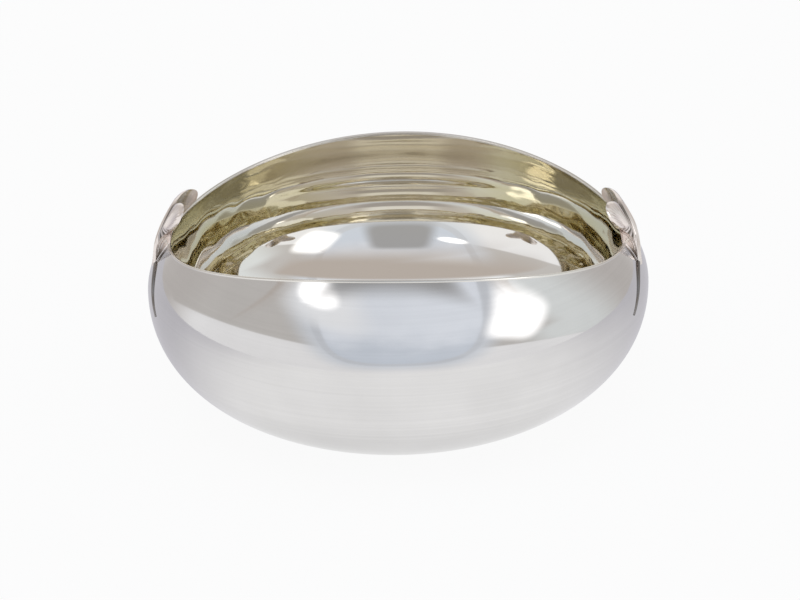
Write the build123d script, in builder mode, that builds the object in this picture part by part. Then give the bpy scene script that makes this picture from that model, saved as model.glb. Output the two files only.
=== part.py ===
from build123d import *
import os

# Round silver bowl with a saddle-shaped mouth and a two-lobed leaf at each dip.
# Millimetres. Origin at the centre of the flat base, +Z up, +X through the right leaf.

# Spun body
belly_radius = 125.0
belly_height = 66.5
base_radius = 46.0
wall = 1.0
base_reach = 34.0
base_lift = 3.5
belly_hang = 43.0
belly_rise = 15.0
shoulder_radius = 113.5
shoulder_height = 92.5

# Mouth: the lip is highest at front and back and lowest at the two ends
lip_top_radius = 95.7
lip_top_height = 109.3
lip_end_radius = 112.5
lip_end_height = 92.3
mouth_stock = 8.0

# Wire along the lip
wire_radius = 0.9
solder_gap = 0.02

# Leaf: section through its middle, as distances from the wall
leaf_thickness = 1.8
leaf_waist_thickness = 3.6
leaf_root = 7.0
leaf_foot_height = 80.5
leaf_foot_stand = 2.0
leaf_belly_height = 90.0
leaf_belly_stand = 6.3
leaf_waist_share = 0.46
leaf_top_height = 116.0
leaf_top_lean = 16.5
leaf_cup = 60.0

# Leaf: outline seen from the end, as places along Y and heights
leaf_foot_place = -10.0
leaf_foot_width = 4.0
leaf_neck_pull = 6.0
leaf_near_neck = (-9.0, 92.0)
leaf_near_corner = (-16.0, 95.0)
leaf_near_tip = (-25.0, 106.0)
leaf_near_lobe = (-17.0, 124.0)
leaf_notch = (2.0, 107.0)
leaf_far_lobe = (10.0, 112.0)
leaf_far_tip = (38.0, 108.0)
leaf_far_corner = (29.0, 96.0)
leaf_far_neck = (8.0, 93.0)

# Stalk, trailing from the foot of the leaf towards the front
stalk_start_radius = 1.2
stalk_end_radius = 0.5
stalk_gap = 0.4
stalk_start_height = 82.0
stalk_bend = (-26.0, 79.5)
stalk_end = (-41.0, 66.0)

os.makedirs("parts", exist_ok=True)

# Control points of the outside of the wall, as (radius, height)
lower_points = [
    (base_radius, 0),
    (base_radius + base_reach, base_lift),
    (belly_radius, belly_height - belly_hang),
    (belly_radius, belly_height),
]
upper_points = [
    (belly_radius, belly_height),
    (belly_radius, belly_height + belly_rise),
    (shoulder_radius, shoulder_height),
    (lip_top_radius, lip_top_height),
]
lip_slope = (lip_top_radius - shoulder_radius) / (lip_top_height - shoulder_height)
stock_height = lip_top_height + mouth_stock
stock_radius = lip_top_radius + lip_slope * mouth_stock


def cubic(points, t):
    weights = ((1 - t) ** 3, 3 * t * (1 - t) ** 2, 3 * t**2 * (1 - t), t**3)
    return [sum(w * p[axis] for w, p in zip(weights, points)) for axis in (0, 1)]


def wall_radius(height):
    """Radius of the outside of the wall at a height, by halving the curve's parameter."""
    points = lower_points if height < belly_height else upper_points
    low, high = 0.0, 1.0
    for _ in range(40):
        middle = (low + high) / 2
        low, high = (middle, high) if cubic(points, middle)[1] < height else (low, middle)
    return cubic(points, low)[0]


def on_wall(reach, height):
    """Point on the outside of the wall on the right-hand side, at a place along Y and a height."""
    radius = wall_radius(height)
    return ((radius**2 - reach**2) ** 0.5, reach, height)


def turned_blank():
    """Solid turned to the outside of the wall and left uncut at the mouth, its seam at the back."""
    with BuildPart() as blank:
        with BuildSketch(Plane.YZ):
            with BuildLine():
                Line((0, 0), (base_radius, 0))
                Bezier(*lower_points)
                Bezier(*upper_points)
                Polyline((lip_top_radius, lip_top_height), (stock_radius, stock_height), (0, stock_height))
                Line((0, stock_height), (0, 0))
            make_face()
        revolve(axis=Axis.Z)
    return blank.part


def mouth_cutter(drop):
    """Everything above the lip's arch, lowered by a drop; the arch runs along X and is pushed along Y."""
    side = belly_radius + mouth_stock
    arch_radius = (lip_end_radius**2 + (lip_top_height - lip_end_height) ** 2) / (
        2 * (lip_top_height - lip_end_height)
    )
    side_height = lip_top_height - arch_radius + (arch_radius**2 - side**2) ** 0.5 - drop
    with BuildPart() as cutter:
        with BuildSketch(Plane.XZ):
            with BuildLine():
                ThreePointArc((-side, side_height), (0, lip_top_height - drop), (side, side_height))
                Polyline(
                    (side, side_height),
                    (side, 2 * stock_height),
                    (-side, 2 * stock_height),
                    (-side, side_height),
                )
            make_face()
        extrude(amount=side, both=True)
    return cutter.part


solid_blank = turned_blank()

# Bowl body: the blank made a shell, with the mouth cut to the underside of the wire
with BuildPart() as bowl_body:
    add(solid_blank)
    offset(amount=-wall, openings=bowl_body.faces().sort_by(Axis.Z)[-1])
    add(mouth_cutter(2 * wire_radius + solder_gap), mode=Mode.SUBTRACT)
bowl_body.part.label = "bowl_body"
export_step(bowl_body.part, "parts/bowl_body.step")

# Line along the middle of the wall, one wire radius under the lip's highest line
with BuildPart() as lip_guide:
    add(solid_blank)
    offset(amount=-wall / 2)
    add(mouth_cutter(wire_radius), mode=Mode.SUBTRACT)
    split(bisect_by=Plane.XZ, keep=Keep.TOP)
front_lip = lip_guide.faces().sort_by(Axis.Z)[-1].edges().sort_by(Axis.Y)[0]


def front_half(radius):
    """Round rod of a radius along the front half of the lip."""
    with BuildPart() as rod:
        with BuildSketch(Plane(origin=front_lip @ 0, z_dir=front_lip % 0)):
            Circle(radius)
        sweep(path=front_lip)
    return rod.part


# Front rim wire: round wire drawn along the front half of the lip
with BuildPart() as front_rim_wire:
    add(front_half(wire_radius))
front_rim_wire.part.label = "front_rim_wire"
export_step(front_rim_wire.part, "parts/front_rim_wire.step")

# Back rim wire: the same wire along the back half, butted to the front one at both ends
with BuildPart() as back_rim_wire:
    mirror(front_rim_wire.part, about=Plane.XZ)
back_rim_wire.part.label = "back_rim_wire"
export_step(back_rim_wire.part, "parts/back_rim_wire.step")

# Right leaf: a cupped casting turned about an upright axis inside the bowl, trimmed to the outline
# of a fan with two lobes, with a thick root that lies on the wall and over the lip wire
leaf_foot_radius = wall_radius(leaf_foot_height) + leaf_foot_stand
cup_centre = leaf_foot_radius - leaf_cup
leaf_waist_height = leaf_belly_height + leaf_waist_share * (leaf_top_height - leaf_belly_height)
leaf_waist_lean = leaf_waist_share * leaf_top_lean
leaf_section = [
    (leaf_foot_radius - cup_centre, leaf_foot_height),
    (wall_radius(leaf_belly_height) + leaf_belly_stand - cup_centre, leaf_belly_height),
    (leaf_foot_radius - leaf_waist_lean - cup_centre, leaf_waist_height),
    (leaf_foot_radius - leaf_top_lean - cup_centre, leaf_top_height),
]
wire_seat = front_half(wire_radius + solder_gap)
with BuildPart() as right_leaf:
    with BuildSketch(Plane.YZ.offset(cup_centre)):
        with BuildLine():
            outside = Spline(*leaf_section)
            depths = (leaf_root, leaf_root, leaf_waist_thickness, leaf_thickness)
            inside = Spline(*[(place[0] - depth, place[1]) for place, depth in zip(leaf_section, depths)])
            Line(outside @ 0, inside @ 0)
            Line(outside @ 1, inside @ 1)
        make_face()
    revolve(axis=Axis((cup_centre, 0, 0), (0, 0, 1)))
    with BuildSketch(Plane.YZ.offset(cup_centre)):
        with BuildLine():
            near_edge = Bezier(
                (leaf_foot_place - leaf_foot_width / 2, leaf_foot_height),
                (leaf_foot_place - leaf_foot_width / 2, leaf_foot_height + leaf_neck_pull),
                leaf_near_neck,
                leaf_near_corner,
            )
            near_lobe = Bezier(near_edge @ 1, leaf_near_tip, leaf_near_lobe, leaf_notch)
            far_lobe = Bezier(near_lobe @ 1, leaf_far_lobe, leaf_far_tip, leaf_far_corner)
            far_edge = Bezier(
                far_lobe @ 1,
                leaf_far_neck,
                (leaf_foot_place + leaf_foot_width, leaf_foot_height + leaf_neck_pull),
                (leaf_foot_place + leaf_foot_width / 2, leaf_foot_height),
            )
            Line(far_edge @ 1, near_edge @ 0)
        make_face()
    extrude(amount=2 * leaf_cup, mode=Mode.INTERSECT)
    add(solid_blank, mode=Mode.SUBTRACT)
    add(wire_seat, mode=Mode.SUBTRACT)
    add(mirror(wire_seat, about=Plane.XZ, mode=Mode.PRIVATE), mode=Mode.SUBTRACT)
right_leaf.part.label = "right_leaf"
export_step(right_leaf.part, "parts/right_leaf.step")

# Right stalk: a tapering wire bent over the wall, its inner half cut away to sit flush
stalk_start = (leaf_foot_place - leaf_foot_width / 2 - stalk_gap, stalk_start_height)
stalk_plan = Bezier(stalk_start, stalk_bend, stalk_end)
stalk_marks = [stalk_plan @ (step / 6) for step in range(7)]
stalk_path = Spline(*[on_wall(mark.X, mark.Y) for mark in stalk_marks])
with BuildPart() as right_stalk:
    with BuildSketch(Plane(origin=stalk_path @ 0, z_dir=stalk_path % 0)):
        Circle(stalk_start_radius)
    with BuildSketch(Plane(origin=stalk_path @ 1, z_dir=stalk_path % 1)):
        Circle(stalk_end_radius)
    sweep(path=stalk_path, multisection=True)
    add(solid_blank, mode=Mode.SUBTRACT)
right_stalk.part.label = "right_stalk"
export_step(right_stalk.part, "parts/right_stalk.step")

# Left leaf and stalk: mirror images of the right-hand castings
with BuildPart() as left_leaf:
    mirror(right_leaf.part, about=Plane.YZ)
left_leaf.part.label = "left_leaf"
export_step(left_leaf.part, "parts/left_leaf.step")

with BuildPart() as left_stalk:
    mirror(right_stalk.part, about=Plane.YZ)
left_stalk.part.label = "left_stalk"
export_step(left_stalk.part, "parts/left_stalk.step")
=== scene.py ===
# %% [markdown]
# A round silver bowl with a saddle-shaped mouth. The front and the back of the lip rise, the two
# ends dip, and over each dip stands a cast two-lobed leaf with a stalk that trails over the belly.
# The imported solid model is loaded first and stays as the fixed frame. Every finer piece is made in
# that frame, in metres, so nothing has to be fitted afterwards.

# %% Load the solid model
import math
import bpy
import numpy as np
from mathutils import Matrix, Vector


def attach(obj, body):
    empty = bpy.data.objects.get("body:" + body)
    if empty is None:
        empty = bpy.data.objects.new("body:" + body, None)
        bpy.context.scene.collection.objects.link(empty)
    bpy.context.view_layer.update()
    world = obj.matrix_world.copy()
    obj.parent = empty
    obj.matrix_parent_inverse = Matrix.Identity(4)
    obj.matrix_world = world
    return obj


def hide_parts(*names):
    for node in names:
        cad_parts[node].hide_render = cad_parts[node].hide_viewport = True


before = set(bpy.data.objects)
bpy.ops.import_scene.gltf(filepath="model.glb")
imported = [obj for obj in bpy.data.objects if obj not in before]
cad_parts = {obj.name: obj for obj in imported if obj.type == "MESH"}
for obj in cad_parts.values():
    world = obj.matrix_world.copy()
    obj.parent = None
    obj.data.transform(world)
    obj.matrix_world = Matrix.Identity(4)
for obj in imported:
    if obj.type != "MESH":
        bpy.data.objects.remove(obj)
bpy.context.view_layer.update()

# %% [markdown]
# The picture was taken from far away and a little above, almost straight from the front. The camera
# therefore has a long lens. Its place is given by three angles and a distance, which were found by
# laying the outline of the bowl over the photograph. The small shift only sets the framing.

# %% Place the camera
elevation, yaw, roll = math.radians(23.304), math.radians(3.197), math.radians(-1.446)
camera_distance = 2.8819
look_at = Vector((0, 0, 0.0665))
to_camera = Vector((
    math.sin(yaw) * math.cos(elevation),
    -math.cos(yaw) * math.cos(elevation),
    math.sin(elevation),
))
level_right = Vector((math.cos(yaw), math.sin(yaw), 0))
level_up = to_camera.cross(level_right)
camera_right = level_right * math.cos(roll) + level_up * math.sin(roll)
camera_up = level_up * math.cos(roll) - level_right * math.sin(roll)


def pick_none():
    """Deselect everything, because an operator acts on all that is selected."""
    bpy.ops.object.select_all(action="DESELECT")


pick_none()
bpy.ops.object.camera_add(location=look_at + to_camera * camera_distance)
camera = bpy.context.object
camera.rotation_euler = Matrix((camera_right, camera_up, to_camera)).transposed().to_euler()
camera.data.sensor_width = 36
camera.data.lens = 259.5
camera.data.shift_x = 0.0023
camera.data.shift_y = -0.0225
camera.data.clip_end = 50
bpy.context.scene.camera = camera
print("camera at", [round(v, 3) for v in camera.location])

# %% [markdown]
# The body is spun from one sheet. On the real bowl the metal is pressed over a turned block, so
# every level is a circle. A lathe-like spin does the same in Blender: the profile is drawn as a
# Bezier curve from the middle of the base to the mouth, made a mesh and spun round the upright
# axis.

# %% Draw the profile of the wall
MM = 0.001
lower_curve = [(46.0, 0.0), (80.0, 3.5), (125.0, 23.5), (125.0, 66.5)]
upper_curve = [(125.0, 66.5), (125.0, 81.5), (113.5, 92.5), (95.7, 109.3)]
points_per_stretch = 44

pick_none()
bpy.ops.curve.primitive_bezier_curve_add(location=(0, 0, 0))
profile = bpy.context.object
knots = profile.data.splines[0].bezier_points
knots.add(2)
places = [(0, 0), lower_curve[0], upper_curve[0], upper_curve[3]]
handles_in = [(-10, 0), (30, 0), lower_curve[2], upper_curve[2]]
handles_out = [(15, 0), lower_curve[1], upper_curve[1], (90, 115)]
for knot, place, before, after in zip(knots, places, handles_in, handles_out):
    knot.handle_left_type = knot.handle_right_type = "FREE"
    knot.co = (place[0] * MM, 0, place[1] * MM)
    knot.handle_left = (before[0] * MM, 0, before[1] * MM)
    knot.handle_right = (after[0] * MM, 0, after[1] * MM)
profile.data.resolution_u = points_per_stretch
bpy.ops.object.convert(target="MESH")
print("profile points:", len(profile.data.vertices))

# %% Spin the profile
spin_steps = 240
same_place = 0.000005


def face_outwards(merge=False):
    """Turn every face of the active mesh outwards, after merging points that share a place."""
    bpy.ops.object.mode_set(mode="EDIT")
    bpy.ops.mesh.select_all(action="SELECT")
    if merge:
        bpy.ops.mesh.remove_doubles(threshold=same_place)
    bpy.ops.mesh.normals_make_consistent(inside=False)
    bpy.ops.object.mode_set(mode="OBJECT")


shell = bpy.context.object
shell.name = shell.data.name = "spun_shell"
bpy.ops.object.mode_set(mode="EDIT")
bpy.ops.mesh.select_all(action="SELECT")
bpy.ops.mesh.spin(steps=spin_steps, angle=2 * math.pi, center=(0, 0, 0), axis=(0, 0, 1))
bpy.ops.object.mode_set(mode="OBJECT")
face_outwards(merge=True)
print("spun faces:", len(shell.data.polygons))

# %% [markdown]
# The mouth is not level. On the real bowl it is sawn along an arch that runs from end to end, which
# leaves the front and the back high. A cut through the mesh would leave ragged triangles at the
# mouth, and a mirror finish shows them at once. So the rows of points above the belly are slid
# along the wall instead, until the last row lies on the arch, a little below the wire's middle.

# %% Find the saddle line of the lip
lip_end_radius, lip_end_height = 112.5, 92.3
lip_top_height = 109.3
wire_radius = 0.9
lip_fall = lip_top_height - lip_end_height
arch_radius = (lip_end_radius**2 + lip_fall**2) / (2 * lip_fall)


def cubic(points, t):
    """Place on a Bezier curve with four control points, for t from 0 to 1."""
    weights = ((1 - t) ** 3, 3 * t * (1 - t) ** 2, 3 * t * t * (1 - t), t**3)
    return tuple(sum(w * p[i] for w, p in zip(weights, points)) for i in (0, 1))


def arch_height(x):
    return lip_top_height - arch_radius + math.sqrt(arch_radius**2 - x * x)


def halve(test, low=0.0, high=1.0):
    """The value up to which a test holds, found by halving the range again and again."""
    for _ in range(40):
        middle = (low + high) / 2
        low, high = (middle, high) if test(middle) else (low, middle)
    return low


def lip_parameter(cos_turn, drop):
    """Where the wall meets the lip's arch lowered by a drop, on the meridian with that cosine."""

    def below(t):
        radius, height = cubic(upper_curve, t)
        return height < arch_height(radius * cos_turn) - drop

    return halve(below)


print("radius of the arch:", round(arch_radius, 1), "mm")

# %% Slide the upper rows to the saddle line
belly_height = 66.6
sheet_drop = 1.4 * wire_radius
lip_by_turn = {}
for point in shell.data.vertices:
    x, y, z = (v / MM for v in point.co)
    if z < belly_height:
        continue
    radius = math.hypot(x, y)
    t = halve(lambda s: cubic(upper_curve, s)[1] < z)
    key = round(abs(x / radius), 5)
    if key not in lip_by_turn:
        lip_by_turn[key] = lip_parameter(key, sheet_drop)
    new_radius, new_height = cubic(upper_curve, t * lip_by_turn[key])
    point.co = (x / radius * new_radius * MM, y / radius * new_radius * MM, new_height * MM)
shell.data.update()
shell_top = max(v.co.z for v in shell.data.vertices)
print("lip rows:", len(lip_by_turn), "top of the shell:", round(shell_top, 5))

# %% [markdown]
# Sheet for a bowl of this size is about a millimetre thick. Solidify gives the wall that thickness
# towards the inside, so the outside keeps its measured shape. It also puts the new inner faces on
# the second material slot, so the inside can have a finish of its own.

# %% Give the wall its thickness
sheet_thickness = 1.0
bpy.ops.object.material_slot_add()
bpy.ops.object.material_slot_add()
sheet = shell.modifiers.new("sheet", "SOLIDIFY")
sheet.thickness = sheet_thickness * MM
sheet.offset = -1
sheet.use_even_offset = True
sheet.material_offset = 1
bpy.ops.object.modifier_apply(modifier="sheet")
bpy.ops.object.shade_smooth_by_angle(angle=math.radians(35))
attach(shell, "root")
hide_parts("bowl_body")
print("shell faces:", len(shell.data.polygons))

# %% [markdown]
# A thin round wire is soldered along the lip, in two lengths that meet behind the leaves. A smith
# bends it to the edge. Here a ring of points is laid along the lip, half of it is deleted, and the
# rest becomes a curve with a round section. The copy for the back is the same wire mirrored.

# %% Bend the front rim wire
ring_points = 360
curve_nudge = 0.001
behind_the_ends = 0.00001


def lip_point(angle):
    """Place of the wire's middle, over the middle of the sheet, at an angle round the bowl."""
    cos_turn = math.cos(angle)
    t = lip_parameter(abs(cos_turn), wire_radius)
    radius, height = cubic(upper_curve, t)
    ahead = cubic(upper_curve, min(t + curve_nudge, 1.0))
    behind = cubic(upper_curve, t - curve_nudge)
    run = Vector((ahead[0] - behind[0], ahead[1] - behind[1])).normalized()
    half_sheet = sheet_thickness / 2
    radius, height = radius - half_sheet * run.y, height + half_sheet * run.x
    return Vector((radius * cos_turn * MM, radius * math.sin(angle) * MM, height * MM))


pick_none()
bpy.ops.mesh.primitive_circle_add(vertices=ring_points, radius=0.1, location=(0, 0, 0))
front_wire = bpy.context.object
front_wire.name = front_wire.data.name = "front_lip_wire"
for point in front_wire.data.vertices:
    point.co = lip_point(math.atan2(point.co.y, point.co.x))
bpy.ops.object.mode_set(mode="EDIT")
bpy.ops.mesh.select_all(action="DESELECT")
bpy.ops.object.mode_set(mode="OBJECT")
for point in front_wire.data.vertices:
    point.select = point.co.y > behind_the_ends
bpy.ops.object.mode_set(mode="EDIT")
bpy.ops.mesh.delete(type="VERT")
bpy.ops.object.mode_set(mode="OBJECT")
print("points along the front lip:", len(front_wire.data.vertices))

# %% Give the wire its round section
bpy.ops.object.convert(target="CURVE")
front_wire.data.bevel_depth = wire_radius * MM
front_wire.data.bevel_resolution = 6
front_wire.data.use_fill_caps = True
bpy.ops.object.convert(target="MESH")
bpy.ops.object.shade_smooth_by_angle(angle=math.radians(40))
wire_top = max(v.co.z for v in front_wire.data.vertices)
print("wire faces:", len(front_wire.data.polygons), "top:", round(wire_top, 5))

# %% Mirror it for the back
def mirrored_copy(piece, name, scale):
    """A copy with its own mesh, turned over by a scale of -1 along one axis."""
    pick_none()
    piece.select_set(True)
    bpy.context.view_layer.objects.active = piece
    bpy.ops.object.duplicate()
    copy = bpy.context.object
    copy.name = copy.data.name = name
    copy.scale = scale
    bpy.ops.object.transform_apply(location=False, rotation=False, scale=True)
    face_outwards()
    return copy


back_wire = mirrored_copy(front_wire, "back_lip_wire", (1, -1, 1))
for wire, node in ((front_wire, "front_rim_wire"), (back_wire, "back_rim_wire")):
    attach(wire, "root")
    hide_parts(node)
print("wires:", front_wire.name, back_wire.name)

# %% [markdown]
# Each leaf is a casting: a cupped fan with two lobes, a notch between them and fine ribs that run
# from the foot to the edge. A grid is the right start, because its lines can follow the ribs. The
# four sides of the grid are laid on the four edges of the leaf, and everything between is blended.

# %% Lay a grid on the outline of the leaf
near_edge = [(-12.0, 80.5), (-11.0, 88.0), (-4.0, 97.0), (-15.0, 101.0)]
far_edge = [(-8.0, 80.5), (-6.0, 86.5), (8.0, 93.0), (29.0, 96.0)]
near_lobe = [(-15.0, 101.0), (-24.0, 108.0), (-17.0, 122.5), (2.0, 107.0)]
far_lobe = [(2.0, 107.0), (10.0, 112.0), (38.0, 108.0), (29.0, 96.0)]
columns, rows = 160, 80


def blend_points(a, b, t):
    return tuple(p + (q - p) * t for p, q in zip(a, b))


def fan_point(across, along):
    """Place on the flat fan, from edge to edge (0 to 1) and from the foot to the lobes (0 to 1)."""
    sides = blend_points(cubic(near_edge, along), cubic(far_edge, along), across)
    foot = blend_points(near_edge[0], far_edge[0], across)
    lobes = cubic(near_lobe, 2 * across) if across < 0.5 else cubic(far_lobe, 2 * across - 1)
    ends = blend_points(foot, lobes, along)
    corners = blend_points(foot, blend_points(near_edge[3], far_edge[3], across), along)
    return tuple(s + e - c for s, e, c in zip(sides, ends, corners))


pick_none()
bpy.ops.mesh.primitive_grid_add(
    x_subdivisions=columns, y_subdivisions=rows, size=2, location=(0, 0, 0)
)
right_leaf = bpy.context.object
right_leaf.name = right_leaf.data.name = "right_ribbed_leaf"
grid = np.array([v.co[:] for v in right_leaf.data.vertices])
across = 0.5 - 0.5 * np.cos(math.pi * (grid[:, 0] + 1) / 2)
along = np.sin(math.pi * (grid[:, 1] + 1) / 4)
fan = np.array([fan_point(a, b) for a, b in zip(across, along)])
fan_side, fan_height = fan[:, 0], fan[:, 1]
print("leaf grid points:", len(grid), "fan from", fan.min(0).round(1), "to", fan.max(0).round(1))

# %% Measure how far each point is from the edge
def outline_of(*curves):
    return np.array([cubic(c, t) for c in curves for t in np.linspace(0, 1, 160)])


rim_line = outline_of(near_edge, far_edge, near_lobe, far_lobe)
edge_distance = np.array([np.hypot(*(rim_line - place).T).min() for place in fan])
print("widest distance from an edge:", round(edge_distance.max(), 2), "mm")

# %% [markdown]
# The ribs of a cast leaf are carved into its pattern, so they belong to the shape and not to a
# picture on it. They are a wave across the fan that fades towards the foot and the edge. The neck
# on the near side is rubbed smooth, a groove runs up to the notch, and the edges are rounded over.

# %% Draw the relief of the leaf
def ramp(values, start, end):
    """Rises (or falls, when end is below start) from 0 to 1 between two values."""
    return np.clip((values - start) / (end - start), 0, 1)


rib_count = 24
rib_height, groove_depth, edge_round = 0.9, 1.8, 1.6
rib_middle, rib_spread, rib_edge, groove_width = 0.6, 0.36, 1.2, 0.05
neck_heights, neck_widths = (104, 98), (0.42, 0.22)

curl = 1 - ramp(edge_distance, 0, edge_round)
curl = edge_round * (1 - np.sqrt(1 - curl**2))
groove = np.exp(-(((across - 0.5) / groove_width) ** 2)) * along
rib_wave = 0.5 - 0.5 * np.cos(2 * math.pi * rib_count * across)
smooth_neck = ramp(fan_height, *neck_heights) * ramp(across, *neck_widths)
rib_share = np.exp(-(((along - rib_middle) / rib_spread) ** 2))
rib_share *= ramp(edge_distance, 0, rib_edge) * (1 - smooth_neck)
relief = rib_height * (rib_wave - 1) * rib_share - groove_depth * groove - curl
print("relief from", round(relief.min(), 2), "to", round(relief.max(), 2), "mm")

# %% [markdown]
# The fan leans in over the mouth like a cupped hand. Its face and its back each lie on a surface
# turned about an upright axis inside the bowl, and the back never goes deeper than the wall. At the
# root the edges are pulled down to the wall, because a soldered foot is filed smooth into it.

# %% Wrap the fan on its cupped surface
def wall_radius(height):
    return cubic(upper_curve, halve(lambda t: cubic(upper_curve, t)[1] < height))[0]


foot_height, root_height, waist_height, top_height = 80.5, 90.0, 101.96, 116.0
cup_radius, cup_lean, waist_share = 60.0, 16.5, 0.46
foot_thickness, waist_thickness, top_thickness = 7.0, 3.6, 1.8
foot_stand, root_stand, wall_slope_above_lip = 2.0, 6.3, 1.06
back_clearance, root_edge, least_thickness = 0.02, 0.5, 0.3
hug_heights, hug_width = (102, 94), 4

cup_centre = wall_radius(foot_height) + foot_stand - cup_radius
cup_levels = [foot_height, root_height, waist_height, top_height]
cup_outside = [
    cup_radius,
    wall_radius(root_height) + root_stand - cup_centre,
    cup_radius - waist_share * cup_lean,
    cup_radius - cup_lean,
]
thicknesses = (foot_thickness, foot_thickness, waist_thickness, top_thickness)
cup_inside = [r - d for r, d in zip(cup_outside, thicknesses)]


def cup_place(radii, lift):
    radius = np.polyval(np.polyfit(cup_levels, radii, 3), fan_height) + lift
    return cup_centre + np.sqrt(radius**2 - fan_side**2)


def wall_or_beyond(height, wall_top=109.2):
    """Radius of the wall, carried on in a straight line above its top."""
    return wall_radius(min(height, wall_top)) - wall_slope_above_lip * max(0, height - wall_top)


wall_at = np.array([wall_or_beyond(z) for z in fan_height])
wall_at = np.sqrt(wall_at**2 - fan_side**2)
back = np.maximum(cup_place(cup_inside, 0.0), wall_at + back_clearance)
face = cup_place(cup_outside, relief)
hug = ramp(fan_height, *hug_heights) * (1 - ramp(edge_distance, 0, hug_width)) ** 2
face = np.maximum(face + hug * (wall_at + root_edge - face), back + least_thickness)
print("leaf stands", round((face - wall_at).max(), 2), "mm off the wall at most")

# %% Thicken the grid into a casting
def lay_points(points, depths):
    for point, x, (y, z) in zip(points, depths, fan):
        point.co = (x * MM, y * MM, z * MM)


lay_points(right_leaf.data.vertices, face)
# The hollows between the ribs keep their film, and the middle groove is painted darker too: painted
# shade of the notch between the two lobes.
groove_painted_shade = 0.9
polish_and_groove_shade = np.clip(1 - (1 - rib_wave) * rib_share - groove_painted_shade * groove, 0, 1)
relief_layer = right_leaf.data.attributes.new("relief", "FLOAT", "POINT")
relief_layer.data.foreach_set("value", polish_and_groove_shade)
face_outwards()
# Any thickness does here, because the points of the back are laid out one by one afterwards.
casting = right_leaf.modifiers.new("casting", "SOLIDIFY")
casting.thickness = 1.0 * MM
bpy.ops.object.modifier_apply(modifier="casting")
lay_points(list(right_leaf.data.vertices)[len(face):], back)
print("leaf points, both sides:", len(right_leaf.data.vertices))

# %% Store the painted shade on the back of the leaf
# The back faces the wall. It is painted darker towards the foot and away from its edges: painted
# shade where the leaf meets the wall.
back_shade_heights, back_shade_width = (86, 92), 4
back_edge_light, back_shade_depth = 0.9, 0.35
shade_and_wear = np.zeros(len(right_leaf.data.vertices), dtype=np.float32)
relief_layer = right_leaf.data.attributes["relief"]
relief_layer.data.foreach_get("value", shade_and_wear)
back_painted_light = back_edge_light - back_shade_depth * ramp(edge_distance, 0, back_shade_width)
shade_and_wear[len(face):] = ramp(fan_height, *back_shade_heights) * back_painted_light
relief_layer.data.foreach_set("value", shade_and_wear)
face_outwards()
bpy.ops.object.shade_smooth_by_angle(angle=math.radians(50))
print("leaf faces:", len(right_leaf.data.polygons))

# %% Mirror the leaf for the other end
left_leaf = mirrored_copy(right_leaf, "left_ribbed_leaf", (-1, 1, 1))
for leaf, node in ((right_leaf, "right_leaf"), (left_leaf, "left_leaf")):
    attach(leaf, "root")
    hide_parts(node)
print("leaves:", right_leaf.name, left_leaf.name)

# %% [markdown]
# Materials are built from nodes, and the same few lines come back in each, so a few helpers keep
# the recipes short. The first adds a node and fills its sockets: a plain number or colour is set on
# the socket, and the output of another node is linked to it.

# %% Helpers for the finishes
def put(kind, settings=None, **sockets):
    """Add a shader node to the present tree, with its settings and then its sockets."""
    node = nodes.new("ShaderNode" + kind)
    for title, value in (settings or {}).items():
        setattr(node, title, value)
    for title, value in sockets.items():
        socket = node.inputs[title.replace("_", " ")]
        if isinstance(value, bpy.types.NodeSocket):
            links.new(value, socket)
        else:
            socket.default_value = value
    return node


def spread(value, low, high, start=0.0, end=1.0):
    """Run from low to high while a value goes from start to end."""
    ends = {"From_Min": start, "From_Max": end, "To_Min": low, "To_Max": high}
    return put("MapRange", Value=value, **ends).outputs["Result"]


def two_tones(value, dark_at, dark, bright_at, bright):
    """A colour ramp from a dark tone to a bright one."""
    node = put("ValToRGB", Fac=value)
    low, high = node.color_ramp.elements
    low.position, low.color = dark_at, (*dark, 1)
    high.position, high.color = bright_at, (*bright, 1)
    return node


def new_metal(name):
    finish = bpy.data.materials.new(name)
    finish.use_nodes = True
    finish.node_tree.nodes["Principled BSDF"].inputs["Metallic"].default_value = 1.0
    return finish, finish.node_tree.nodes, finish.node_tree.links


def coat(piece, finish):
    piece.data.materials.clear()
    piece.data.materials.append(finish)


print("helpers for finishes ready")

# %% [markdown]
# Polished silver is a mirror with a history. Its colour is a pale grey, slightly warm, and it is
# never quite even: the hand leaves a soft waviness that bends reflections, and rubbing on the lathe
# leaves fine lines that run round the bowl. The material mixes two close greys by a slow noise,
# varies the roughness a little and adds two bumps, a slow one and one stretched along the rings.

# %% Mix the polished silver
cloud_scale, slow_scale, round_scale, upright_scale = 22, 60, 6, 900
dull_at, bright_at = 0.35, 0.65
line_range, line_dark = (0.3, 0.7), 0.962


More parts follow.
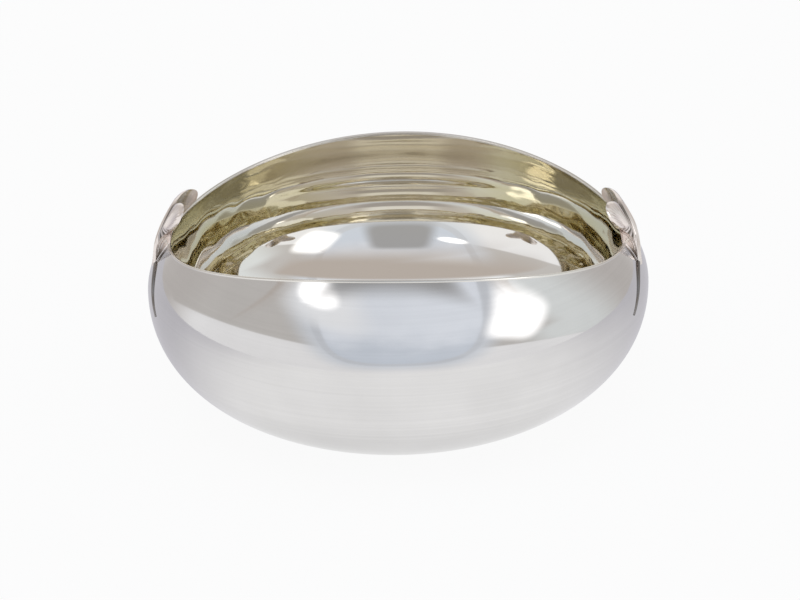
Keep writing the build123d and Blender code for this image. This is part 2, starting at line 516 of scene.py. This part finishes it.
def silver(name, bright, dull, rough, wave, streak, streak_scale=upright_scale):
    """A polished silver: two greys, a range of roughness, and the depths of its two bumps."""
    global nodes, links
    finish, nodes, links = new_metal(name)
    shader = nodes["Principled BSDF"]
    place = put("TexCoord").outputs["Object"]
    cloud = put("TexNoise", Vector=place, Scale=cloud_scale, Detail=3).outputs["Fac"]
    tones = two_tones(cloud, dull_at, dull, bright_at, bright)
    links.new(spread(cloud, *rough), shader.inputs["Roughness"])
    slow = put("TexNoise", Vector=place, Scale=slow_scale, Detail=1)
    wavy = put("Bump", Strength=1.0, Distance=wave, Height=slow.outputs["Fac"])
    stretch = put("Mapping", Vector=place, Scale=(round_scale, round_scale, streak_scale))
    rings = put("TexNoise", Vector=stretch.outputs["Vector"], Scale=1.0, Detail=4)
    lines = spread(rings.outputs["Fac"], line_dark, 1.0, *line_range)
    blend = {"data_type": "RGBA", "blend_type": "MULTIPLY"}
    rubbed = put("Mix", blend, Factor=1.0, A=tones.outputs["Color"], B=lines)
    links.new(rubbed.outputs["Result"], shader.inputs["Base Color"])
    fine = put("Bump", Strength=1.0, Distance=streak, Height=rings.outputs["Fac"])
    links.new(wavy.outputs["Normal"], fine.inputs["Normal"])
    links.new(fine.outputs["Normal"], shader.inputs["Normal"])
    named = {"tones": tones, "slow": slow, "wavy": wavy, "rings": rings, "fine": fine}
    for title, node in named.items():
        node.name = title
    return finish


outside_silver = silver(
    "polished_silver", (0.765, 0.755, 0.75), (0.715, 0.705, 0.70), (0.05, 0.09), 0.00003, 0.000006
)
wire_silver = silver(
    "lip_wire_silver", (0.86, 0.84, 0.80), (0.78, 0.75, 0.70), (0.08, 0.16), 0.00002, 0.000004
)
for wire in (front_wire, back_wire):
    coat(wire, wire_silver)
print("finishes:", outside_silver.name, wire_silver.name)

# %% [markdown]
# The inside keeps a straw-coloured film where a cloth hardly reaches, under the shoulder, and each
# further bounce of the light deepens the colour. The floor and the low wall are rubbed more often
# and stay plain silver. One blend by height joins the two. A second blend deepens the film at the
# two ends, behind the leaves.

# %% Mix the inside silver
inside_silver = silver(
    "warm_inside_silver", (0.95, 0.925, 0.84), (0.91, 0.875, 0.775), (0.025, 0.05), 0.0012, 0.00008,
    streak_scale=170,
)
plain_silver, straw_film = (0.86, 0.845, 0.825, 1), (0.83, 0.785, 0.58, 1)
film_heights, film_ends = (38 * MM, 75 * MM), (70 * MM, 112 * MM)
inside_place = put("SeparateXYZ", Vector=nodes["Texture Coordinate"].outputs["Object"])
up_wall = spread(inside_place.outputs["Z"], 0, 1, *film_heights)
beside = put("Math", {"operation": "ABSOLUTE"})
links.new(inside_place.outputs["X"], beside.inputs[0])
far_out = spread(beside.outputs[0], 0, 1, *film_ends)
colour_mix = {"data_type": "RGBA"}
film = put("Mix", colour_mix, Factor=far_out, A=nodes["tones"].outputs["Color"], B=straw_film)
low_blend = put("Mix", colour_mix, Factor=up_wall, A=plain_silver, B=film.outputs["Result"])
links.new(low_blend.outputs["Result"], nodes["Principled BSDF"].inputs["Base Color"])
print("straw film between heights", film_heights, "m")

# %% [markdown]
# A pressed sheet is never quite true, and a hollow mirror shows that far more than a bulging one.
# The inside therefore has deeper waves than the outside. They are strongest at the two ends and
# calm in the middle and on the low wall, as in the photograph.

# %% Calm the waves of the inside
wave_scale, fine_strength = 42, 0.06
low_wall_calm, middle_calm, wave_ends = 0.15, 0.08, (40 * MM, 85 * MM)
nodes["slow"].inputs["Scale"].default_value = wave_scale
nodes["rings"].inputs["Detail"].default_value = 1
nodes["fine"].inputs["Strength"].default_value = fine_strength
unrest = put("Math", {"operation": "MULTIPLY"})
links.new(spread(up_wall, low_wall_calm, 1), unrest.inputs[0])
links.new(spread(beside.outputs[0], middle_calm, 1, *wave_ends), unrest.inputs[1])
links.new(unrest.outputs[0], nodes["wavy"].inputs["Strength"])
shell.data.materials[0] = outside_silver
shell.data.materials[1] = inside_silver
inner = sum(1 for p in shell.data.polygons if p.material_index == 1)
print("inside faces:", inner, "of", len(shell.data.polygons))

# %% [markdown]
# The castings are less bright than the sheet. Between the ribs the metal keeps a brown-grey film
# that polishing never reaches, and the tops of the ribs are rubbed bright. The middle groove and the
# back near the wall are painted dark as well, as painted shade. How bright each place is, rubbed or
# shaded, was stored on the leaf as an attribute, which drives the colour and the roughness.

# %% Mix the cast silver
# The brown tone is both the film between the ribs and the painted shade in the groove and on the
# back.
brown_film_and_shade, rubbed_bright = (0.16, 0.14, 0.12), (0.88, 0.81, 0.77)
rough_film, rough_bright = 0.32, 0.13
grain_scale, grain_depth = 1400, 0.00005
cast_silver, nodes, links = new_metal("cast_leaf_silver")
shader = nodes["Principled BSDF"]
wear_and_shade_layer = put("Attribute", {"attribute_name": "relief"}).outputs["Fac"]
tones = two_tones(wear_and_shade_layer, 0.15, brown_film_and_shade, 0.7, rubbed_bright)
links.new(tones.outputs["Color"], shader.inputs["Base Color"])
links.new(spread(wear_and_shade_layer, rough_film, rough_bright), shader.inputs["Roughness"])
grain = put("TexNoise", Vector=put("TexCoord").outputs["Object"], Scale=grain_scale)
skin = put("Bump", Strength=0.3, Distance=grain_depth, Height=grain.outputs["Fac"])
links.new(skin.outputs["Normal"], shader.inputs["Normal"])
for leaf in (right_leaf, left_leaf):
    coat(leaf, cast_silver)
print("leaves finished in", cast_silver.name)

# %% [markdown]
# The stalks are thin rods that the solid model already has in their final shape, so they keep their
# meshes and get only a better finish. Their dark grey is painted shade, for the shaded side of a
# thin rod and the dark line it makes against the belly.

# %% Finish the stalks
# The two dark greys are painted shade of the thin rod.
stalk_silver = silver(
    "dark_stalk_silver", (0.42, 0.40, 0.385), (0.17, 0.16, 0.155), (0.12, 0.22), 0.00002, 0.000004
)
for name in ("right_stalk", "left_stalk"):
    coat(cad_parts[name], stalk_silver)
print("stalks finished in", stalk_silver.name)

# %% [markdown]
# Silver shows its surroundings more than itself, so the studio is part of the finish. The floor is
# plain white paper with a faint shadow, seen as white by the camera and in the mirror of the metal.
# The mirror sees it a little darker at the sides and behind, where less light falls, and close to
# the front of the bowl, where the bowl's shadow is painted in. Three more helpers do the arithmetic
# of such soft zones.

# %% Helpers for soft zones
def calc(operation, a, b=None):
    node = put("Math", {"operation": operation})
    for socket, value in zip(node.inputs, (a, b)):
        if value is None:
            continue
        if isinstance(value, (int, float)):
            socket.default_value = value
        else:
            links.new(value, socket)
    return node.outputs[0]


def soft_step(value, start, end):
    """Rise smoothly from 0 to 1 while a value goes from start to end."""
    smooth = {"interpolation_type": "SMOOTHSTEP"}
    return put("MapRange", smooth, Value=value, From_Min=start, From_Max=end).outputs["Result"]


def tint(factor, below, above):
    """Go from one colour to another with a factor; each is a plain colour or an output."""
    below, above = ((*c, 1) if isinstance(c, tuple) else c for c in (below, above))
    return put("Mix", {"data_type": "RGBA"}, Factor=factor, A=below, B=above).outputs["Result"]


print("helpers for zones ready")

# %% Lay the floor
floor_size, floor_drop = 14, 0.0003
paper_white, close_shadow_white, shade_grey = (1.0, 1.0, 1.0), (0.87, 0.87, 0.87), (0.62, 0.61, 0.65)

pick_none()
bpy.ops.mesh.primitive_plane_add(size=floor_size, location=(0, 0, -floor_drop))
floor = bpy.context.object
floor.name = "floor"
paper = bpy.data.materials.new("white_paper")
paper.use_nodes = True
nodes, links = paper.node_tree.nodes, paper.node_tree.links
nodes.remove(nodes["Principled BSDF"])
ray = put("LightPath").outputs
split = put("SeparateXYZ", Vector=put("TexCoord").outputs["Object"])
x, y = split.outputs[0], split.outputs[1]
round_bowl = calc("ARCTAN2", calc("ABSOLUTE", x), calc("MULTIPLY", y, -1))
print("floor of", floor_size, "m laid")

# %% Shade the floor in the mirror
def round_step(start, end):
    """A soft step by the angle round the bowl, where 0 is the front and 180 the back."""
    return soft_step(round_bowl, math.radians(start), math.radians(end))


middle_blend, close_shadow_ring = 0.05, (0.135, 0.09)
to_left = soft_step(x, middle_blend, -middle_blend)
left_shade = calc("MULTIPLY", round_step(40, 105), to_left)
right_shade = calc("MULTIPLY", round_step(40, 130), calc("SUBTRACT", 1, to_left))
shade = calc("MULTIPLY", calc("ADD", left_shade, right_shade), ray["Is Glossy Ray"])
from_middle = calc("SQRT", calc("ADD", calc("POWER", x, 2), calc("POWER", y, 2)))
# Close in front of the bowl the mirrored floor is painted darker: the painted shadow of the bowl,
# which the glow would hide.
close = calc("MULTIPLY", soft_step(from_middle, *close_shadow_ring), round_step(80, 45))
close = calc("MULTIPLY", close, ray["Is Glossy Ray"])
floor_colour = tint(shade, tint(close, paper_white, close_shadow_white), shade_grey)
print("floor shaded at the sides and close to the bowl")

# %% Let the camera and the mirror see the floor as white
glow_share = 0.92
seen = calc("MINIMUM", calc("ADD", ray["Is Camera Ray"], ray["Is Glossy Ray"]), 1)
seen = calc("MINIMUM", calc("ADD", seen, ray["Is Transmission Ray"]), 1)
matt = put("BsdfDiffuse", Color=(0.9, 0.9, 0.9, 1))
glow = put("Emission", Color=floor_colour, Strength=1.0)
mixed = put("MixShader", Fac=calc("MULTIPLY", seen, glow_share))
links.new(matt.outputs[0], mixed.inputs[1])
links.new(glow.outputs[0], mixed.inputs[2])
links.new(mixed.outputs[0], nodes["Material Output"].inputs["Surface"])
floor.data.materials.append(paper)
print("floor finished in", paper.name)

# %% [markdown]
# The room could be built from real walls, but only its reflection matters, so it is painted on the
# world by direction. White cards stand low in front and on the left, and their straight top edges
# make the curved border on the belly. Above them the room is a warm grey, with a bright wall on the
# right, and behind the bowl there is a pale backdrop under a dark ceiling. Steps are in degrees.

# %% Measure directions in the room
world = bpy.data.worlds.new("studio")
bpy.context.scene.world = world
world.use_nodes = True
nodes, links = world.node_tree.nodes, world.node_tree.links
sky = nodes["Background"]
sky.inputs["Strength"].default_value = 1.0
direction = put("TexCoord").outputs["Generated"]
east, north, up = put("SeparateXYZ", Vector=direction).outputs
to_degrees = 180 / math.pi
turn_angle = calc("MULTIPLY", calc("ARCTAN2", east, calc("MULTIPLY", north, -1)), to_degrees)
lift_angle = calc("MULTIPLY", calc("ARCSINE", up), to_degrees)


def facing(azimuth, height_angle):
    """Unit arrow to a place in the studio; azimuth 0 is the camera's side and 90 is the right."""
    a, e = math.radians(azimuth), math.radians(height_angle)
    return Vector((math.sin(a) * math.cos(e), -math.cos(a) * math.cos(e), math.sin(e)))


def reach_along(axis):
    """How far a direction reaches along an axis."""
    node = put("VectorMath", {"operation": "DOT_PRODUCT"})
    links.new(direction, node.inputs[0])
    node.inputs[1].default_value = axis
    return node.outputs["Value"]


print("azimuth 90 points to", [round(v, 3) for v in facing(90, 0)])

# %% Paint the walls of the room
def above_edge(azimuth, slope):
    """How far a direction lies above the straight top edge of a card that stands at an azimuth."""
    return calc("SUBTRACT", up, reach_along(facing(azimuth, 0) * slope))


card_white, room_grey, bright_wall = (0.93, 0.93, 0.94), (0.60, 0.58, 0.56), (0.80, 0.83, 0.83)
side_grey, ceiling_grey, backdrop_grey = (0.60, 0.57, 0.55), (0.42, 0.40, 0.385), (0.84, 0.83, 0.81)
edge_softness = 0.015

side = calc("ABSOLUTE", turn_angle)
above_front = calc("MINIMUM", above_edge(-38, 0.693), above_edge(3, 0.70))
above_all = calc("MINIMUM", above_front, above_edge(-140, 0.09))
above_card = soft_step(above_all, -edge_softness, edge_softness)
room = tint(above_card, card_white, room_grey)
low_right = calc("MULTIPLY", soft_step(turn_angle, 58, 80), soft_step(lift_angle, 32, 24))
right_wall = calc("MAXIMUM", soft_step(turn_angle, 76, 92), low_right)
room = tint(calc("MULTIPLY", right_wall, above_card), room, bright_wall)
room = tint(soft_step(side, 100, 130), room, side_grey)
ceiling = calc("MULTIPLY", soft_step(side, 110, 150), soft_step(lift_angle, 36, 44))
room = tint(ceiling, room, ceiling_grey)
backdrop = calc("MULTIPLY", soft_step(side, 140, 158), soft_step(lift_angle, 42, 34))
room = tint(backdrop, room, backdrop_grey)
print("walls of the room ready")

# %% [markdown]
# A long pale panel hangs overhead towards the camera. It is the blue-white shape in the middle of
# the front, with rounded corners, a thin grey rim and a faint halo. Its cloth is not quite even, so
# a slow noise bends the border between its brighter and its darker part.

# %% Hang the soft panel
def panel_distance(azimuth, height_angle, half_width, half_height, power):
    """About 1 on the edge of a panel with rounded corners, less inside it and more outside."""

    def lean(axis):
        return calc("MULTIPLY", calc("ARCSINE", reach_along(axis)), to_degrees)

    middle, right = facing(azimuth, height_angle), facing(azimuth + 90, 0)
    wide = calc("DIVIDE", calc("ABSOLUTE", lean(right)), half_width)
    tall = calc("DIVIDE", calc("ABSOLUTE", lean(middle.cross(right))), half_height)
    total = calc("ADD", calc("POWER", wide, power), calc("POWER", tall, power))
    behind = calc("MULTIPLY", soft_step(lean(middle), 8, 0), 5)
    return calc("ADD", calc("POWER", total, 1 / power), behind)


low_cloth, high_cloth = (0.68, 0.735, 0.82), (0.87, 0.915, 0.99)
halo_blue, rim_grey, lamp_white = (0.74, 0.78, 0.84), (0.66, 0.69, 0.74), (1.0, 1.02, 1.05)
fold_scale, fold_degrees = 3.5, 40

folds = put("TexNoise", Vector=direction, Scale=fold_scale).outputs["Fac"]
fold = calc("MULTIPLY", calc("SUBTRACT", folds, 0.5), fold_degrees)
cloth = tint(soft_step(calc("ADD", lift_angle, fold), 28, 58), low_cloth, high_cloth)
soft_panel = panel_distance(4.5, 55, 30, 37.5, 2.5)
room = tint(soft_step(soft_panel, 1.45, 1.05), room, halo_blue)
room = tint(soft_step(soft_panel, 1.11, 1.09), room, rim_grey)
room = tint(soft_step(soft_panel, 1.0, 0.98), room, cloth)
lamp_glow = panel_distance(-56, 60, 20, 9, 2.0)
room = tint(soft_step(lamp_glow, 1.4, 0.4), room, lamp_white)
links.new(room, sky.inputs["Color"])
print("soft panel and the left lamp's glow ready")

# %% [markdown]
# The bright spots come from two lamps that stand close to the bowl. That can be read from the
# photo: each lamp is seen once on the front and once inside, in two directions that only meet at
# about a hand's breadth from the lip. Two cards above the lip darken what the inside mirrors from
# the front. All four are flat panels with soft edges, left out of the camera's own view.

# %% Set out the lamps and the cards
lip_level = 0.08


def panel_corners(azimuth, height_angle, spin, distance, width, height):
    """Corners of a panel that faces the middle of the mouth, turned by a spin in its own plane."""
    away, right = facing(azimuth, height_angle), facing(azimuth + 90, 0)
    above = away.cross(right)
    c, s = math.cos(math.radians(spin)), math.sin(math.radians(spin))
    half_wide = (right * c + above * s) * width / 2
    half_tall = (above * c - right * s) * height / 2
    middle = away * distance + Vector((0, 0, lip_level))
    return [middle + half_wide * i + half_tall * j for j in (-1, 1) for i in (-1, 1)]


def card_corners(y, low, high):
    """Corners of an upright card: the height and the two ends of its low edge and its high edge."""
    return [(x, y, z) for z, *ends in (low, high) for x in ends]


right_lamp = panel_corners(55.0, 29.8, 45, 0.2714, 0.165, 0.125)
left_lamp = panel_corners(-37.0, 41.5, 0, 0.2162, 0.08, 0.036)
grey_card = card_corners(-0.105, (0.100, -0.06, 0.064), (0.28, -0.06, 0.064))
rose_card = card_corners(-0.107, (0.16, -0.45, 0.2), (1.06, -1.9, 1.2))
print("left lamp's first corner:", [round(v, 3) for v in left_lamp[0]])

# %% Make a panel with soft edges
def soft_glow(name, power, core, colour):
    """A glow that is even up to a core and fades to nothing at the panel's edge."""
    global nodes, links
    finish = bpy.data.materials.new(name)
    finish.use_nodes = True
    nodes, links = finish.node_tree.nodes, finish.node_tree.links
    nodes.remove(nodes["Principled BSDF"])
    split = put("SeparateXYZ", Vector=put("TexCoord").outputs["UV"])
    from_middle = [calc("ABSOLUTE", calc("SUBTRACT", split.outputs[i], 0.5)) for i in (0, 1)]
    wide, tall = (calc("MULTIPLY", part, 2) for part in from_middle)
    total = calc("ADD", calc("POWER", wide, power), calc("POWER", tall, power))
    fade = put("MixShader", Fac=soft_step(calc("POWER", total, 1 / power), 1.0, core))
    links.new(put("BsdfTransparent").outputs[0], fade.inputs[1])
    links.new(put("Emission", Color=(*colour, 1)).outputs[0], fade.inputs[2])
    links.new(fade.outputs[0], nodes["Material Output"].inputs["Surface"])
    return finish


panels = (
    ("right_lamp", right_lamp, 4.0, 0.5, (1.7, 1.7, 1.7)),
    ("left_lamp", left_lamp, 2.0, 0.4, (2.2, 2.2, 2.2)),
    ("grey_card", grey_card, 6.0, 0.6, (0.40, 0.40, 0.405)),
    ("rose_card", rose_card, 4.0, 0.45, (0.53, 0.475, 0.43)),
)
for name, corners, power, core, colour in panels:
    pick_none()
    bpy.ops.mesh.primitive_plane_add(size=2, location=(0, 0, 0))
    panel = bpy.context.object
    panel.name = name
    for point, corner in zip(panel.data.vertices, corners):
        point.co = corner
    panel.visible_camera = panel.visible_shadow = panel.visible_diffuse = False
    panel.data.materials.append(soft_glow(name + "_glow", power, core, colour))
    print(name, "stands at", [round(v, 3) for v in panel.data.vertices[0].co])

# %% [markdown]
# A mirror needs no lamp, but the paper does: without one the bowl would float. A wide disk light
# high in front gives the faint soft shadow that sets the bowl on the floor. It is hidden from
# reflections, because the soft panel in the room already stands for it there.

# %% Hang a soft light overhead
light_distance, light_width, light_watts = 2.5, 1.2, 3.0
pick_none()
overhead = facing(-5, 55)
bpy.ops.object.light_add(
    type="AREA",
    location=overhead * light_distance,
    rotation=overhead.to_track_quat("Z", "Y").to_euler(),
)
soft_light = bpy.context.object
soft_light.name = "soft_light"
soft_light.data.shape = "DISK"
soft_light.data.size = light_width
soft_light.data.energy = light_watts
soft_light.visible_glossy = False
print("soft light overhead:", soft_light.data.energy, "watts")

# %% [markdown]
# Reflections run round the inside of the bowl several times before they leave it, and that is what
# makes the inside warm. The renderer is allowed more mirror bounces for it.

# %% Allow more mirror bounces
scene = bpy.context.scene
scene.cycles.glossy_bounces = 28
scene.cycles.max_bounces = 32
scene.cycles.transparent_max_bounces = 24
scene.view_settings.view_transform = "Standard"
